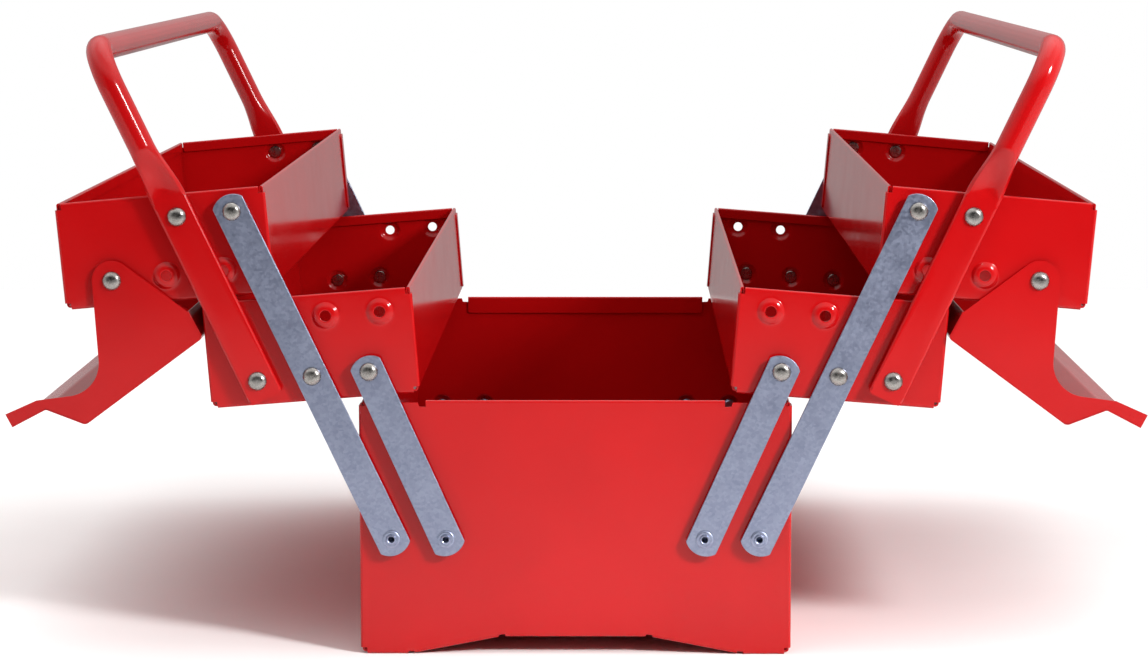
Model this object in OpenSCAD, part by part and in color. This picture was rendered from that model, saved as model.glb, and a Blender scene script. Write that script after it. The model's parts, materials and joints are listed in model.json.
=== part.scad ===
// Cantilever toolbox in sheet steel: a base, two lower trays, two upper trays with hinged
// lids, and two tube handles, joined by strip links. It is drawn open.
// Frame: millimetres, +Z up, X across the box, Y along it, origin on the floor below its middle.
// The left front quarter is drawn, and the other three quarters are its mirror images.

/* [Base] */
// Length over the end panels
box_length = 420; // [340:1:520]
// Width over the end panels' side flanges
base_width = 200; // [180:1:240]
// Height of the hemmed rim above the floor
base_height = 119.2; // [95:0.1:150]
// How far the plain rim beside the hem and over the sides lies below it
rim_drop = 1; // [0:0.1:3]
// Width of each foot along the end panel's bottom edge
foot_width = 23.7; // [15:0.1:35]
// Half width of the raised middle of the bottom
raised_half = 34.2; // [20:0.1:50]
// Height of the raised middle above the floor
bottom_rise = 8.1; // [3:0.1:15]
// Depth of the folded hem along the base's rim
base_hem = 9.5; // [5:0.1:14]
// Distance from the corner to the notch where the end panel's hem starts
hem_start = 31; // [20:0.5:40]
// Depth of the flanges that wrap round the base's side sheet
base_flange = 12; // [8:0.5:20]

/* [Sheet] */
// Thickness of the steel sheet
sheet = 0.8; // [0.6:0.05:1.2]
// Inside radius of a bend
bend_r = 0.6; // [0.4:0.1:1.5]
// How far the relief cut at each corner of a panel clears the hems that meet there
relief_gap = 0.3; // [0.1:0.1:3]

/* [Links] */
// Distance between neighbouring pivots of the long link
link_pitch = 84; // [75:0.5:105]
// How much further the long links lean in the open box than in the closed one, in degrees
open_more = 1.05; // [0:0.05:3]
// Width of a link
link_width = 15; // [12:0.5:20]
// Thickness of a link
link_thick = 1.5; // [1:0.1:3]
// How far a link's rounded end reaches past its last pivot
link_end = 7.9; // [7.7:0.1:12]
// Radius of a link's shallow round ends
link_round = 9.8; // [7.7:0.1:12]
// Distance from the base's side to the long link's pivot
link_edge = 15; // [11:0.5:22]
// Distance between the long and the short link's pivots on the base
base_pivot_gap = 25.2; // [20:0.1:32]

/* [Trays] */
// Height of the lower row of bosses above the tray's bottom
low_row = 12; // [9:0.1:18]
// Rise from the lower row of bosses to the upper row
row_rise = 27; // [20:0.1:32]
// Distance from the tray's inner edge to the nearest boss of the upper row
inner_margin = 15.5; // [12:0.1:22]
// Distance from the tray's outer edge to the nearest boss of the lower row
outer_margin = 23.2; // [18:0.1:30]
// Distance between the bosses for the long and the short link
short_gap = 26.2; // [20:0.1:32]
// How far the upper row stands inwards of the lower row
row_shift = 8.3; // [4:0.1:12]
// Depth of the folded hem round a tray's rim
tray_hem = 5.5; // [3.5:0.1:9]
// Depth of the flanges that wrap round a tray's trough
tray_flange = 9.5; // [7:0.1:15]
// How far the open lower tray droops outwards, in degrees
lower_droop = 4.5; // [0:0.1:5]
// How far the open upper tray droops outwards, in degrees
upper_droop = 5; // [0:0.1:5.5]

/* [Bosses and rivets] */
// Diameter of a tray boss where it leaves the panel
boss_base = 12.4; // [11:0.1:14]
// Diameter of a boss's flat top
boss_top = 8.4; // [8:0.1:9.5]
// Height of a tray boss
boss_height = 1.6; // [1:0.1:2.2]
// Diameter of a rivet's shank
pin = 5; // [4:0.1:5.4]
// Diameter of a solid rivet's head
head = 8.6; // [8:0.1:10]
// Height of a solid rivet's head
head_height = 2.3; // [1.5:0.1:3]
// Radius of the collar that holds a link off its boss
collar_r = 4; // [3.4:0.1:4.1]
// Diameter of a blind rivet's flange
blind_flange = 8; // [7.4:0.1:10]

/* [Lid] */
// Rise of the lid's outer edge above the tray's rim
lid_eave = 5.1; // [3:0.1:10]
// Rise of the lid's crest above the tray's rim
lid_crest = 15.5; // [12:0.1:24]
// Depth of the flange down the tray's outer wall
lid_flange = 13.5; // [8:0.1:18]
// Length of the flat lip beside the middle of the box
lip_length = 17.8; // [10:0.1:24]
// Run of the step from the lip up to the crest
step_run = 13; // [8:0.1:18]
// Depth of the end plate below the lip
lip_band = 6.4; // [4:0.1:6.8]
// Radius of the end plate's ear round the lid's pivot
ear_r = 9.2; // [7:0.1:10]
// Radius of the hollow in the end plate's inner side
hollow_r = 15.5; // [12:0.1:18]
// Turn of a hanging lid from its closed place in degrees, where the lower tray leaves it room
lid_most = 207.7; // [180:0.1:210]
// Least gap between a hanging lid's corner and the lower tray, as if the corner were sharp
lid_clear = 0.6; // [0.3:0.05:3]

/* [Handle] */
// Outside diameter of the handle's tube
tube = 12; // [10:0.5:15]
// Wall of the handle's tube
tube_wall = 1.2; // [0.8:0.1:2]
// Radius of the tube's bends at its middle line
grip_bend = 20; // [15:1:30]
// Width of the strap that the tube is flattened to
strap_width = 16.4; // [14:0.1:19]
// Thickness of the strap
strap_thick = 3.2; // [2.2:0.1:4]
// How far the strap reaches past its lower pivot
strap_end = 9.3; // [8.4:0.1:12]
// How far the strap reaches past its upper pivot before it rounds out
strap_top = 9; // [7:0.5:14]
// Length over which the strap rounds out to the tube
round_out = 20; // [12:0.5:24]

/* [Clearances] */
// Gap between pieces that slide past each other
slide_gap = 0.3; // [0.25:0.05:0.5]
// Gap under a piece that turns on a boss, a collar or a rivet's head
turn_gap = 0.1; // [0.05:0.05:0.2]
// Radial clearance of a pivot
pivot_gap = 0.08; // [0.02:0.01:0.15]
// Radial clearance of the short link's upper pivot
short_play = 0.7; // [0.6:0.05:1]
// Radial clearance of the handle's lower pivot
strap_play = 0.35; // [0.25:0.05:0.6]
// Gap between a closed tray and what it stands on
stack_gap = 0.4; // [0.3:0.05:1]
// Gap between the two closed upper trays
middle_gap = 1; // [0.6:0.1:3]
// How far a closed upper tray stands inside the base's side
tray_inset = 2.5; // [1.5:0.1:6]
// Gap between the closed lid's flange and the tray's wall
lid_gap = 0.4; // [0.3:0.05:1]

/* [Hidden] */

ENAMEL = [0.80, 0.10, 0.11];
ZINC = [0.58, 0.62, 0.70];
RIVET = [0.66, 0.64, 0.60];
$fn = 48;
BEND_STEPS = 5;             // straight steps in a bend of the sheet
HEM_GAP = 0.3;              // air inside a folded hem
OVER = 1;                   // how far a cutter reaches past what it cuts

end_y = -box_length / 2;    // outer face of the front end panels

// Planes in front of an end panel, as distances from its outer face
lid_plane = boss_height + turn_gap;               // back of the lid's end plate
link_plane = lid_plane + sheet + slide_gap;       // back of the links and the strap

// The closed box settles the trays' width and height and the pivots' height
tray_width = base_width / 2 - middle_gap / 2 - tray_inset;
closed_angle = asin((base_width / 2 - link_edge - middle_gap / 2 - inner_margin) / (2 * link_pitch));
open_angle = closed_angle + open_more;                       // lean of the long links, drawn open
tray_height = link_pitch * cos(closed_angle) - row_rise - stack_gap;
pivot_z = base_height + stack_gap + low_row - link_pitch * cos(closed_angle);

relief = 3 * sheet + HEM_GAP + relief_gap;  // side of the small cut at each corner of a panel

// Bosses on a tray's end panel, from its outer bottom corner. Each row has the same gap.
boss_gap = (tray_width - inner_margin - row_shift - outer_margin) / 2;
boss_e = [tray_width - inner_margin, low_row + row_rise];    // long link of the upper tray
boss_d = boss_e - [boss_gap, 0];                             // handle on the upper tray
boss_b = [boss_d[0] - row_shift, low_row];                   // long link of the lower tray
boss_a = boss_b - [boss_gap, 0];                             // handle below, lid above
boss_c = boss_b + [short_gap, 0];                            // short link of the lower tray
BOSSES = [boss_a, boss_b, boss_c, boss_d, boss_e];

// Pivots of the left side, as [x, z]
function lean(a) = [-sin(a), cos(a)];
function turned(v, a) = [v[0] * cos(a) - v[1] * sin(a), v[0] * sin(a) + v[1] * cos(a)];
base_long = [-base_width / 2 + link_edge, pivot_z];
base_short = base_long + [base_pivot_gap, 0];
lower_long = base_long + link_pitch * lean(open_angle);
upper_long = base_long + 2 * link_pitch * lean(open_angle);
lower_short = lower_long + turned(boss_c - boss_b, lower_droop);
lower_strap = lower_long + turned(boss_a - boss_b, lower_droop);
upper_strap = upper_long + turned(boss_d - boss_e, upper_droop);
lid_pivot = upper_long + turned(boss_a - boss_e, upper_droop);

// A hanging lid turns until its outer corner would come too near to the lower tray's wall
lid_corner = [-boss_a[0] - lid_gap - sheet, tray_height - low_row + lid_eave];
lid_room = -boss_b[0] - turned(lid_pivot - lower_long, -lower_droop)[0] - lid_clear;
lid_open = min(lid_most, 360 + lower_droop - acos(min(1, lid_room / norm(lid_corner)))
    - atan2(lid_corner[1], lid_corner[0]));

// The short link's length is the mean of what the open and the closed box ask for
short_closed = norm(link_pitch * [sin(closed_angle), cos(closed_angle)]
    + [short_gap - base_pivot_gap, 0]);
short_length = (short_closed + norm(lower_short - base_short)) / 2;
short_lean = angle_of(lower_short - base_short);

// The strap's length likewise, and the closed grips meet above the middle
strap_length = (link_pitch + norm(upper_strap - lower_strap)) / 2;
strap_lean = angle_of(upper_strap - lower_strap);
grip_reach = (inner_margin + boss_gap + middle_gap / 2 - tube / 2 - turn_gap * 4) / sin(closed_angle);

function angle_of(v) = atan2(-v[0], v[1]);

// ---- Bent sheet: a path of [x, y, inside radius] points, thickened and with arcs at its bends

function unit(v) = v / norm(v);
function flat(p) = [p[0], p[1]];
function to_left(v) = [-v[1], v[0]];
function turn_at(d, e) = atan2(d[0] * e[1] - d[1] * e[0], d * e);
function bend_arc(p, i, off) =
    let (d = unit(flat(p[i]) - flat(p[i - 1])), e = unit(flat(p[i + 1]) - flat(p[i])),
         turn = turn_at(d, e), way = sign(turn), mid_r = p[i][2] + sheet / 2,
         start = flat(p[i]) - d * mid_r * tan(abs(turn) / 2),
         centre = start + to_left(d) * way * mid_r,
         from = atan2(start[1] - centre[1], start[0] - centre[0]))
    [for (k = [0:BEND_STEPS]) centre + (mid_r - way * off)
        * [cos(from + turn * k / BEND_STEPS), sin(from + turn * k / BEND_STEPS)]];
function face_of(p, off) =
    let (n = len(p) - 1)
    concat([flat(p[0]) + to_left(unit(flat(p[1]) - flat(p[0]))) * off],
        [for (i = [1:n - 1]) each bend_arc(p, i, off)],
        [flat(p[n]) + to_left(unit(flat(p[n]) - flat(p[n - 1]))) * off]);
function backwards(p) = [for (i = [len(p) - 1:-1:0]) p[i]];
module bent_sheet(p)
    polygon(concat(face_of(p, sheet / 2), backwards(face_of(p, -sheet / 2))));

hem_step = sheet + HEM_GAP;      // from a wall's middle to its hem's middle
hem_r = HEM_GAP / 2 - 0.01;      // just under half the gap, so that the two bends don't meet

// ---- Placing

// Stands an outline drawn in X and Z upright: its back at distance from the end panel's face
module upright(distance, thick)
    translate([0, end_y - distance, 0]) rotate([90, 0, 0]) linear_extrude(thick) children();
// The same for an outline drawn in Y and Z, extruded along X
module along_x(from, to)
    translate([from, 0, 0]) rotate([90, 0, 90]) linear_extrude(to - from) children();
// The same for an outline drawn in X and Z, extruded along Y
module along_y(from, to)
    translate([0, to, 0]) rotate([90, 0, 0]) linear_extrude(to - from) children();
// Turns children about a point that is given first in their own frame and then in the box's
module hang(own, at, angle)
    translate([at[0], 0, at[1]]) rotate([0, -angle, 0]) translate([-own[0], 0, -own[1]]) children();
module lower_place() hang(boss_b, lower_long, lower_droop) children();
module upper_place() hang(boss_e, upper_long, upper_droop) children();
module lid_place() hang([0, 0], lid_pivot, lid_open) children();
module rear() mirror([0, 1, 0]) children();
module right() mirror([1, 0, 0]) children();
// A solid of revolution on an axis that points out of the front end, from [radius, distance]
module turned_out(at, profile)
    translate([at[0], end_y, at[1]]) rotate([90, 0, 0]) rotate_extrude() polygon(profile);
module drill(at, r, from, to)
    translate([at[0], end_y - from, at[1]]) rotate([90, 0, 0]) cylinder(r = r, h = to - from);

// ---- Rivets

module boss_shell(at, height)
    turned_out(at, [
        [boss_base / 2, 0], [boss_top / 2 + 0.9, height * 0.75], [boss_top / 2, height],
        [pin / 2 + pivot_gap, height], [pin / 2 + pivot_gap, height - sheet],
        [boss_top / 2 - 0.2, height - sheet], [boss_base / 2 - 0.9, -sheet],
        [boss_base / 2, -sheet]]);
module boss_cut(at)
    drill(at, boss_base / 2, -sheet - OVER, OVER);

// A rivet through a boss: a tail behind the sheet and a domed head, with a collar between the
// boss and a link, so that the lid's end plate passes behind the link
tail_height = 1.4;          // thickness of a solid rivet's upset tail
tail_lip = 0.9;             // how far the tail reaches past the shank
module solid_rivet(at, head_from, collar) {
    tail_from = boss_height - sheet;
    collar_to = link_plane - turn_gap;
    dome_r = (pow(head / 2, 2) + pow(head_height, 2)) / (2 * head_height);
    turned_out(at, concat(
        [[0, tail_from - tail_height], [(pin + tail_lip) / 2, tail_from - tail_height],
            [pin / 2 + tail_lip, tail_from - tail_height * 0.8], [pin / 2 + tail_lip, tail_from],
            [pin / 2, tail_from]],
        collar ? [[pin / 2, boss_height], [collar_r, boss_height], [collar_r, collar_to],
            [pin / 2, collar_to]] : [],
        [[pin / 2, head_from], [0, head_from]]));
    intersection() {
        translate([at[0], end_y - head_from - head_height + dome_r, at[1]]) sphere(r = dome_r);
        drill(at, head / 2 + OVER, head_from, head_from + head_height + OVER);
    }
}
module collar_rivet(at, piece_thick) solid_rivet(at, link_plane + piece_thick + turn_gap, true);
module plain_rivet(at) solid_rivet(at, lid_plane + sheet + turn_gap, false);

// A blind rivet: flange outside, bulb inside, and the broken mandrel down its middle
module blind_rivet(at) {
    flange_from = link_plane + link_thick + turn_gap;
    bulb = base_boss - sheet;
    turned_out(at, [
        [0, bulb - 4.5], [pin / 2, bulb - 4.2], [pin / 2 + 1, bulb - 2.6], [pin / 2 + 0.6, bulb],
        [pin / 2, bulb], [pin / 2, flange_from], [blind_flange / 2, flange_from],
        [blind_flange / 2, flange_from + 0.4], [blind_flange / 2 - 1.2, flange_from + 1],
        [1.5, flange_from + 1.1], [1.4, flange_from - 0.6], [0, flange_from - 0.4]]);
}

// ---- Base

base_boss = link_plane - turn_gap;      // height of the bosses that carry the links
side_x = base_width / 2;
side_rim = base_height - rim_drop;      // rim of the sides, and of the end panels' corners
// The bottom edge from the left side to the right
bottom_line = [[-side_x, 0], [-side_x + foot_width, 0], [-raised_half, bottom_rise],
    [raised_half, bottom_rise], [side_x - foot_width, 0], [side_x, 0]];
// A point of that edge, moved up square to both of its neighbours' lines
function lifted(i, by) =
    let (d = unit(bottom_line[i] - bottom_line[i - 1]), e = unit(bottom_line[i + 1] - bottom_line[i]),
         m = to_left(d), n = to_left(e))
    bottom_line[i] + (m + n) / (1 + m * n) * by;

module base_tub() color(ENAMEL) {
    wall = side_x - 1.5 * sheet;
    top = side_rim - sheet / 2;
    floor_z = 1.5 * sheet;
    half = concat(
        [[-wall + hem_step, side_rim - base_hem], [-wall + hem_step, top, hem_r],
         [-wall, top, hem_r], [-wall, floor_z, 1.2]],
        [for (i = [1:2]) concat(lifted(i, floor_z), [2])]);
    other = [for (p = backwards(half)) [-p[0], p[1], p[2]]];
    along_y(end_y + sheet + bend_r, -end_y - sheet - bend_r) bent_sheet(concat(half, other));
}

// A flange that the panel's edge is folded to, from one point of the edge to another
module edge_flange(a, b, depth) {
    run = norm(b - a);
    ease = relief / 2;
    translate([a[0], end_y, a[1]]) rotate([0, -atan2(b[1] - a[1], b[0] - a[0]), 0])
        along_x(ease, run - ease)
            bent_sheet([[depth, sheet / 2], [sheet / 2, sheet / 2, bend_r], [sheet / 2, 3 * relief]]);
}

module base_end() color(ENAMEL) {
    hem_x = side_x - hem_start;
    difference() {
        union() {
            // Flat plate, with its corners cut back and a small notch beside the hem
            upright(-sheet, sheet) difference() {
                polygon([
                    [-side_x + relief, side_rim], [-side_x + relief, sheet],
                    [-side_x + foot_width, sheet], [-raised_half, bottom_rise + sheet],
                    [raised_half, bottom_rise + sheet], [side_x - foot_width, sheet],
                    [side_x - relief, sheet], [side_x - relief, side_rim]]);
                for (s = [-1, 1]) translate([s * (hem_x + 1.2), side_rim]) circle(r = 1.8);
            }
            // Side flanges
            translate([0, end_y, relief]) linear_extrude(side_rim - 1.5 * relief)
                for (s = [-1, 1]) bent_sheet([[s * (side_x - sheet / 2), base_flange],
                    [s * (side_x - sheet / 2), sheet / 2, bend_r], [s * (side_x - foot_width), sheet / 2]]);
            // Hem, folded inwards and down
            translate([0, end_y, 0]) along_x(-hem_x, hem_x)
                bent_sheet([[sheet / 2, base_height - base_hem], [sheet / 2, base_height - sheet / 2, hem_r],
                    [sheet / 2 + hem_step, base_height - sheet / 2, hem_r],
                    [sheet / 2 + hem_step, base_height - base_hem]]);
            // Bottom flanges of the feet, the slopes and the raised middle
            edge_flange(bottom_line[0] + [relief / 2, 0], bottom_line[1], base_flange);
            for (i = [1:3]) edge_flange(bottom_line[i], bottom_line[i + 1], base_flange);
            edge_flange(bottom_line[4], bottom_line[5] - [relief / 2, 0], base_flange);
        }
        for (s = [-1, 1], p = [base_long, base_short]) boss_cut([s * p[0], p[1]]);
    }
    for (s = [-1, 1], p = [base_long, base_short]) boss_shell([s * p[0], p[1]], base_boss);
}
module base_end_front() base_end();
module base_end_rear() rear() base_end();

module base_rivets() color(RIVET)
    for (s = [-1, 1], p = [base_long, base_short]) blind_rivet([s * p[0], p[1]]);
module base_rivets_front() base_rivets();
module base_rivets_rear() rear() base_rivets();

// ---- Links

// A strip between its end pivots, with shallow round ends and a hole of its own at each pivot
module link(foot, angle, length, holes) color(ZINC)
    hang([0, 0], foot, angle) difference() {
        upright(link_plane, link_thick) intersection() {
            translate([-link_width / 2, -link_end]) square([link_width, length + 2 * link_end]);
            union() {
                translate([0, link_round - link_end]) circle(r = link_round);
                translate([0, length + link_end - link_round]) circle(r = link_round);
                translate([-link_width / 2, 0]) square([link_width, length]);
            }
        }
        for (h = holes) drill([0, h[0]], h[1], link_plane - OVER, link_plane + link_thick + OVER);
    }
module long_link()
    link(base_long, open_angle, 2 * link_pitch, [for (i = [0:2]) [i * link_pitch, pin / 2 + pivot_gap]]);
module short_link()
    link(base_short, short_lean, short_length,
        [[0, pin / 2 + pivot_gap], [short_length, pin / 2 + short_play]]);
module left_long_link_front() long_link();
module left_long_link_rear() rear() long_link();
module left_short_link_front() short_link();
module left_short_link_rear() rear() short_link();
module right_long_link_front() right() long_link();
module right_long_link_rear() rear() right() long_link();
module right_short_link_front() right() short_link();
module right_short_link_rear() rear() right() short_link();

// ---- Trays, each in its own frame: X from its outer edge inwards, Z from its bottom

module trough() color(ENAMEL) {
    near = 1.5 * sheet;
    far = tray_width - near;
    top = tray_height - sheet / 2;
    along_y(end_y + sheet + bend_r, -end_y - sheet - bend_r)
        bent_sheet([[near + hem_step, tray_height - tray_hem], [near + hem_step, top, hem_r],
            [near, top, hem_r], [near, near, 1.2], [far, near, 1.2], [far, top, hem_r],
            [far - hem_step, top, hem_r], [far - hem_step, tray_height - tray_hem]]);
}

module tray_end() color(ENAMEL) {
    half = sheet / 2;
    difference() {
        union() {
            // Plate with its two side flanges
            translate([0, end_y, relief]) linear_extrude(tray_height - 2 * relief)
                bent_sheet([[half, tray_flange], [half, half, bend_r],
                    [tray_width - half, half, bend_r], [tray_width - half, tray_flange]]);
            // Plate with its bottom flange and its hem
            translate([0, end_y, 0]) along_x(relief, tray_width - relief)
                bent_sheet([[tray_flange, half], [half, half, bend_r],
                    [half, tray_height - half, hem_r], [half + hem_step, tray_height - half, hem_r],
                    [half + hem_step, tray_height - tray_hem]]);
        }
        for (b = BOSSES) boss_cut(b);
    }
    for (b = BOSSES) boss_shell(b, boss_height);
}

module lower_rivets() color(RIVET) {
    collar_rivet(boss_a, strap_thick);
    collar_rivet(boss_b, link_thick);
    collar_rivet(boss_c, link_thick);
}
module upper_rivets() color(RIVET) {
    collar_rivet(boss_d, strap_thick);
    collar_rivet(boss_e, link_thick);
}
module left_lower_trough() lower_place() trough();
module left_lower_end_front() lower_place() tray_end();
module left_lower_end_rear() rear() lower_place() tray_end();
module left_lower_rivets_front() lower_place() lower_rivets();
module left_lower_rivets_rear() rear() lower_place() lower_rivets();
module left_upper_trough() upper_place() trough();
module left_upper_end_front() upper_place() tray_end();
module left_upper_end_rear() rear() upper_place() tray_end();
module left_upper_rivets_front() upper_place() upper_rivets();
module left_upper_rivets_rear() rear() upper_place() upper_rivets();
module right_lower_trough() right() lower_place() trough();
module right_lower_end_front() right() lower_place() tray_end();
module right_lower_end_rear() rear() right() lower_place() tray_end();
module right_lower_rivets_front() right() lower_place() lower_rivets();
module right_lower_rivets_rear() rear() right() lower_place() lower_rivets();
module right_upper_trough() right() upper_place() trough();
module right_upper_end_front() right() upper_place() tray_end();
module right_upper_end_rear() rear() right() upper_place() tray_end();
module right_upper_rivets_front() right() upper_place() upper_rivets();
module right_upper_rivets_rear() rear() right() upper_place() upper_rivets();

// ---- Lids, in a frame with its origin at the pivot and X inwards, as they lie when closed

rim = tray_height - low_row;                                  // the tray's rim above the pivot
flange_x = -boss_a[0] - lid_gap - sheet / 2;                  // middle of the outer flange
lip_x = tray_width - boss_a[0] - slide_gap;                   // end of the lip
lip_z = rim + slide_gap + sheet / 2;
lid_end_y = end_y - lid_plane - sheet;                        // outer face of the front end plate
lid_line = [[flange_x, rim + lid_eave - lid_flange], [flange_x, rim + lid_eave, 1.2],
    [lip_x - lip_length - step_run, rim + lid_crest, 2], [lip_x - lip_length, lip_z, 1.5], [lip_x, lip_z]];

module lid_roof() color(ENAMEL)
    along_y(lid_end_y, -lid_end_y) bent_sheet(backwards(lid_line));

// The end plate: its ear narrows to the pivot, and a hollow in its inner side clears the handle
hollow_back = 5.3;                      // how far the hollow's centre lies outwards of the crest
hollow_drop = 13.8;                     // and below the tray's rim
hollow_from = 72;                       // where the hollow's arc starts, in degrees
hollow_at = [lid_line[2][0] - hollow_back, rim - hollow_drop];
hollow_aim = atan2(hollow_at[1], hollow_at[0]) - acos((ear_r + hollow_r) / norm(hollow_at));
eave_aim = atan2(lid_line[0][1], lid_line[0][0]) + acos(ear_r / norm(lid_line[0]));
function polar(r, a) = r * [cos(a), sin(a)];
module lid_end() color(ENAMEL) {
    band_z = lip_z - lip_band;
    difference() {
        upright(lid_plane, sheet) polygon(concat(
            face_of(lid_line, -sheet / 2),
            [[lip_x, band_z], [lip_x - lip_length + 2, band_z + 1]],
            [for (k = [0:8]) hollow_at
                + polar(hollow_r, hollow_from + (hollow_aim + 180 - hollow_from) * k / 8)],
            [for (k = [0:16]) polar(ear_r, hollow_aim + 360 + (eave_aim - hollow_aim - 360) * k / 16)]));
        drill([0, 0], pin / 2 + pivot_gap, lid_plane - OVER, lid_plane + sheet + OVER);
    }
}
module lid_rivet() color(RIVET) plain_rivet(boss_a);
module left_lid_roof() lid_place() lid_roof();
module left_lid_end_front() lid_place() lid_end();
module left_lid_end_rear() rear() lid_place() lid_end();
module left_lid_rivet_front() upper_place() lid_rivet();
module left_lid_rivet_rear() rear() upper_place() lid_rivet();
module right_lid_roof() right() lid_place() lid_roof();
module right_lid_end_front() right() lid_place() lid_end();
module right_lid_end_rear() rear() right() lid_place() lid_end();
module right_lid_rivet_front() right() upper_place() lid_rivet();
module right_lid_rivet_rear() rear() right() upper_place() lid_rivet();

// ---- Handle, in a frame with its origin at the upper pivot and Z along the strap

tube_y = end_y - link_plane - tube / 2;      // middle line of the front leg
lap = 0.5;                                   // how far the rounding-out part laps its neighbours
module handle_leg() {
    difference() {
        upright(link_plane, strap_thick)
            translate([-strap_width / 2, -strap_length - strap_end])
                square([strap_width, strap_length + strap_end + strap_top]);
        drill([0, 0], pin / 2 + pivot_gap, link_plane - OVER, link_plane + strap_thick + OVER);
        drill([0, -strap_length], pin / 2 + strap_play, link_plane - OVER, link_plane + strap_thick + OVER);
    }
    // The strap rounds out to the tube, and ends just inside the tube's outline
    hull() {
        upright(link_plane, strap_thick)
            translate([-strap_width / 2, strap_top - lap]) square([strap_width, lap]);
        translate([0, tube_y, strap_top + round_out]) cylinder(d = tube - 0.1, h = lap, $fn = 32);
    }
    straight = grip_reach - grip_bend - strap_top - round_out;
    translate([0, tube_y, strap_top + round_out]) difference() {
        cylinder(d = tube, h = straight);
        translate([0, 0, lap + OVER]) cylinder(d = tube - 2 * tube_wall, h = straight);
    }
    translate([0, tube_y + grip_bend, grip_reach - grip_bend]) rotate([90, 0, -90])
        rotate_extrude(angle = 90) translate([grip_bend, 0]) difference() {
            circle(d = tube);
            circle(d = tube - 2 * tube_wall);
        }
}
module handle() color(ENAMEL) {
    handle_leg();
    rear() handle_leg();
    half = -tube_y - grip_bend;
    translate([0, 0, grip_reach]) rotate([90, 0, 0]) difference() {
        cylinder(d = tube, h = 2 * half, center = true);
        cylinder(d = tube - 2 * tube_wall, h = 2 * half + OVER, center = true);
    }
}
module left_handle() hang([0, 0], upper_strap, strap_lean) handle();
module right_handle() right() left_handle();

base_tub();
base_end_front();
base_end_rear();
base_rivets_front();
base_rivets_rear();
left_long_link_front();
left_long_link_rear();
left_short_link_front();
left_short_link_rear();
left_lower_trough();
left_lower_end_front();
left_lower_end_rear();
left_lower_rivets_front();
left_lower_rivets_rear();
left_upper_trough();
left_upper_end_front();
left_upper_end_rear();
left_upper_rivets_front();
left_upper_rivets_rear();
left_lid_roof();
left_lid_end_front();
left_lid_end_rear();
left_lid_rivet_front();
left_lid_rivet_rear();
left_handle();
right_long_link_front();
right_long_link_rear();
right_short_link_front();
right_short_link_rear();
right_lower_trough();
right_lower_end_front();
right_lower_end_rear();
right_lower_rivets_front();
right_lower_rivets_rear();
right_upper_trough();
right_upper_end_front();
right_upper_end_rear();
right_upper_rivets_front();
right_upper_rivets_rear();
right_lid_roof();
right_lid_end_front();
right_lid_end_rear();
right_lid_rivet_front();
right_lid_rivet_rear();
right_handle();
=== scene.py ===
"""Cantilever toolbox in red enamelled sheet steel, laid out as an add-on and run as a script."""

import json
import math

import bmesh
import bpy
from bpy.props import FloatProperty, PointerProperty, StringProperty
from mathutils import Matrix, Vector


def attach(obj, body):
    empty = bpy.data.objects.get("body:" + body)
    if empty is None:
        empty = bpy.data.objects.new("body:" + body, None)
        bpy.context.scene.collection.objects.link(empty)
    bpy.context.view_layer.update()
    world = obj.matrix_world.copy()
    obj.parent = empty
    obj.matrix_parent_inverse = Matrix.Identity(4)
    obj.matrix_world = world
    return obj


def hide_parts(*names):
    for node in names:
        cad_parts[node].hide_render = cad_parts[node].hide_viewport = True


bl_info = {
    "name": "Cantilever Toolbox",
    "version": (1, 0, 0),
    "blender": (4, 5, 0),
    "location": "3D View > Sidebar > Toolbox",
    "description": "Builds a cantilever toolbox with trays, lids, links and tube handles",
    "category": "Object",
}

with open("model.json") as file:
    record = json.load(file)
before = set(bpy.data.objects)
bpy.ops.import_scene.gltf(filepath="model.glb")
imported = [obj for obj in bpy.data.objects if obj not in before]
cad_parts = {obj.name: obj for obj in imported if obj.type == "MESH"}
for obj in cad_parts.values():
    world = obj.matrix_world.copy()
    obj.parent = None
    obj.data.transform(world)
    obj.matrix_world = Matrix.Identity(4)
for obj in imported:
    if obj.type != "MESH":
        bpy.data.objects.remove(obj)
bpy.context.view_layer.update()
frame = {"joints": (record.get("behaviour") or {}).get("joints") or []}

SIDES = ("left", "right")
ENDS = ("front", "rear")
INWARD = Vector((0, 1, 0))      # from the front end panels into the box
OUTWARD = Vector((0, -1, 0))
SAME = 1e-6                     # places nearer to each other than this are one
HOLE_RING = 0.0009              # width of the flat ring round a punched hole
PIVOTS = {joint["name"]: Vector(joint["pos_m"]) for joint in frame["joints"]}


def length(name, default, description):
    """A size in metres that a user may change"""
    return FloatProperty(name=name, description=description, default=default, unit="LENGTH", precision=5)


def angle(name, degrees, description):
    """An angle that a user may change"""
    return FloatProperty(name=name, description=description, default=math.radians(degrees), subtype="ANGLE")


def colour(name, code, description):
    """A colour that a user may change, as an sRGB hex code"""
    return StringProperty(name=name, description=description, default=code)


# ---- Sizes


class SheetSizes(bpy.types.PropertyGroup):
    """The steel sheet and how it is folded"""

    thickness: length("Thickness", 0.0008, "Thickness of the steel sheet")
    bend: length("Bend radius", 0.0006, "Inside radius of a bend")
    hem_gap: length("Hem gap", 0.0003, "Air inside a folded hem")
    relief: length("Corner relief", 0.003, "Side of the small cut at each corner of a panel")
    edge: length("Edge rounding", 0.00012, "Width of the rounding that the enamel gives a cut edge")


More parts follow.
